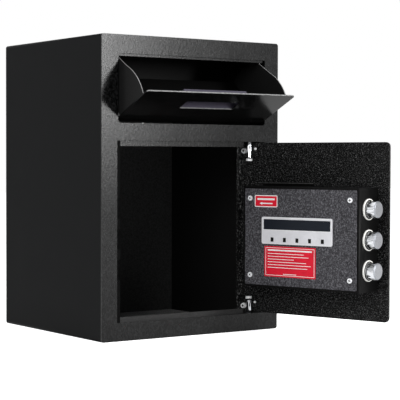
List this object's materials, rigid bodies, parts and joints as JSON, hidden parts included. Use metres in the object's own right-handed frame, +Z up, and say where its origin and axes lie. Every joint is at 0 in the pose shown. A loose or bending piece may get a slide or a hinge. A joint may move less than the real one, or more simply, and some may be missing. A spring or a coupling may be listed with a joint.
{
  "type": "drop safe",
  "caption": "Steel floor safe with a bolted keypad door and a tilt-out deposit hopper above it.",
  "frame": {"origin": "centre of the four floor anchor holes, on the underside of the floor", "axes": "+Z up, the door and hopper face -Y, +X is the hinge side"},
  "size_m": [0.3733, 0.5348, 0.45],
  "materials": {
    "cabinet_coat": "smooth black powder coat",
    "front_coat": "fine-textured black powder coat",
    "door_coat": "hammered gloss black powder coat",
    "cover_coat": "mottled charcoal powder coat",
    "chrome": "polished chrome plate",
    "zinc_steel": "zinc plate",
    "black_plastic": "fine matte",
    "grey_plastic": "satin",
    "silver_plastic": "silver lacquer with a dark window",
    "key_plastic": "satin grey",
    "nylon": "ivory",
    "label": "red film with white bars",
    "lamp": "tinted lens",
    "coil": "varnished winding",
    "board": "solder mask",
    "cells": "shrink sleeve",
    "felt": "needled felt"
  },
  "bodies": {
    "cabinet": {"wrap_shell": "cabinet_coat", "back_panel": "cabinet_coat", "front_panel": "front_coat", "door_frame_top": "cabinet_coat", "door_frame_bottom": "cabinet_coat", "strike_post": "cabinet_coat", "strike_tabs": "cabinet_coat", "hopper_lintel": "front_coat", "hopper_sides": "cabinet_coat", "hopper_rod": "zinc_steel", "antifish_baffle": "cabinet_coat", "floor_mat": "felt"},
    "hopper": {"flap": "front_coat", "quadrant_left": "cabinet_coat", "quadrant_right": "cabinet_coat", "bucket_plate": "cabinet_coat", "finger_pull": "grey_plastic"},
    "door": {"door_plate": "door_coat", "hinge_brackets": "door_coat", "hinge_pins": "chrome", "hinge_screws": "chrome", "lock_case": "door_coat", "lock_cover": "cover_coat", "cover_screws": "chrome", "bolt_bushings": "nylon", "tail_guide": "zinc_steel", "solenoid": "coil", "circuit_board": "board", "battery_tray": "black_plastic", "battery_cells": "cells", "lock_labels": "label", "key_barrel": "chrome", "control_panel": "black_plastic", "lamps": "lamp", "fixing_nuts": "zinc_steel"},
    "bolt_carriage": {"bolt_top": "chrome", "bolt_middle": "chrome", "bolt_bottom": "chrome", "carrier_bar": "zinc_steel", "drive_fork": "zinc_steel"},
    "knob_set": {"knob": "black_plastic", "drive_cam": "zinc_steel", "cam_pin": "chrome"},
    "lock_plunger": {"plunger": "chrome", "plunger_spring": "zinc_steel"},
    "lock_plug": {"key_plug": "chrome"},
    "keyhole_cover": {"key_cover": "black_plastic"},
    "battery_lid": {"battery_cover": "silver_plastic"},
    "pad_key_1": {"key_1": "key_plastic"},
    "pad_key_2": {"key_2": "key_plastic"},
    "pad_key_3": {"key_3": "key_plastic"},
    "pad_key_4": {"key_4": "key_plastic"},
    "pad_key_5": {"key_5": "key_plastic"},
    "pad_key_6": {"key_6": "key_plastic"},
    "pad_key_7": {"key_7": "key_plastic"},
    "pad_key_8": {"key_8": "key_plastic"},
    "pad_key_9": {"key_9": "key_plastic"},
    "pad_key_10": {"key_10": "key_plastic"},
    "pad_key_11": {"key_11": "key_plastic"},
    "pad_key_12": {"key_12": "key_plastic"}
  },
  "joints": [
    {"name": "hopper_tilt", "type": "hinge", "parent": "cabinet", "child": "hopper", "pos_m": [0, -0.1447, 0.3316], "axis": [1, 0, 0], "range_deg": [-65, 0]},
    {"name": "door_swing", "type": "hinge", "parent": "cabinet", "child": "door", "pos_m": [0.1145, -0.1388, 0.161], "axis": [0, 0, 1], "range_deg": [-106.8, 11.2]},
    {"name": "knob_turn", "type": "hinge", "parent": "door", "child": "knob_set", "pos_m": [0.17103, -0.2873, 0.1503], "axis": [0.9573, 0.289, 0], "range_deg": [-32.61, 57.07]},
    {"name": "bolt_throw", "type": "slide", "parent": "door", "child": "bolt_carriage", "axis": [0.289, -0.9573, 0], "range_m": [-0.0081, 0.0141]},
    {"name": "plunger_drop", "type": "slide", "parent": "door", "child": "lock_plunger", "axis": [0, 0, -1], "range_m": [0, 0.006], "deforming": ["plunger_spring"]},
    {"name": "key_turn", "type": "hinge", "parent": "door", "child": "lock_plug", "pos_m": [0.17103, -0.2873, 0.1058], "axis": [0.9573, 0.289, 0], "range_deg": [0, 90]},
    {"name": "key_cover_swing", "type": "hinge", "parent": "door", "child": "keyhole_cover", "pos_m": [0.18922, -0.28181, 0.1208], "axis": [0.9573, 0.289, 0], "range_deg": [-90, 90]},
    {"name": "battery_cover_lift", "type": "slide", "parent": "door", "child": "battery_lid", "axis": [-0.9573, -0.289, 0], "range_m": [0, 0.025]},
    {"name": "key_1_press", "type": "slide", "parent": "door", "child": "pad_key_1", "axis": [-0.9573, -0.289, 0], "range_m": [0, 0.0015], "stiffness_N_per_m": 600},
    {"name": "key_2_press", "type": "slide", "parent": "door", "child": "pad_key_2", "axis": [-0.9573, -0.289, 0], "range_m": [0, 0.0015], "stiffness_N_per_m": 600},
    {"name": "key_3_press", "type": "slide", "parent": "door", "child": "pad_key_3", "axis": [-0.9573, -0.289, 0], "range_m": [0, 0.0015], "stiffness_N_per_m": 600},
    {"name": "key_4_press", "type": "slide", "parent": "door", "child": "pad_key_4", "axis": [-0.9573, -0.289, 0], "range_m": [0, 0.0015], "stiffness_N_per_m": 600},
    {"name": "key_5_press", "type": "slide", "parent": "door", "child": "pad_key_5", "axis": [-0.9573, -0.289, 0], "range_m": [0, 0.0015], "stiffness_N_per_m": 600},
    {"name": "key_6_press", "type": "slide", "parent": "door", "child": "pad_key_6", "axis": [-0.9573, -0.289, 0], "range_m": [0, 0.0015], "stiffness_N_per_m": 600},
    {"name": "key_7_press", "type": "slide", "parent": "door", "child": "pad_key_7", "axis": [-0.9573, -0.289, 0], "range_m": [0, 0.0015], "stiffness_N_per_m": 600},
    {"name": "key_8_press", "type": "slide", "parent": "door", "child": "pad_key_8", "axis": [-0.9573, -0.289, 0], "range_m": [0, 0.0015], "stiffness_N_per_m": 600},
    {"name": "key_9_press", "type": "slide", "parent": "door", "child": "pad_key_9", "axis": [-0.9573, -0.289, 0], "range_m": [0, 0.0015], "stiffness_N_per_m": 600},
    {"name": "key_10_press", "type": "slide", "parent": "door", "child": "pad_key_10", "axis": [-0.9573, -0.289, 0], "range_m": [0, 0.0015], "stiffness_N_per_m": 600},
    {"name": "key_11_press", "type": "slide", "parent": "door", "child": "pad_key_11", "axis": [-0.9573, -0.289, 0], "range_m": [0, 0.0015], "stiffness_N_per_m": 600},
    {"name": "key_12_press", "type": "slide", "parent": "door", "child": "pad_key_12", "axis": [-0.9573, -0.289, 0], "range_m": [0, 0.0015], "stiffness_N_per_m": 600}
  ],
  "couplings": [
    {"joint": "bolt_throw", "follows": "knob_turn", "m_per_rad": 0.014056}
  ]
}
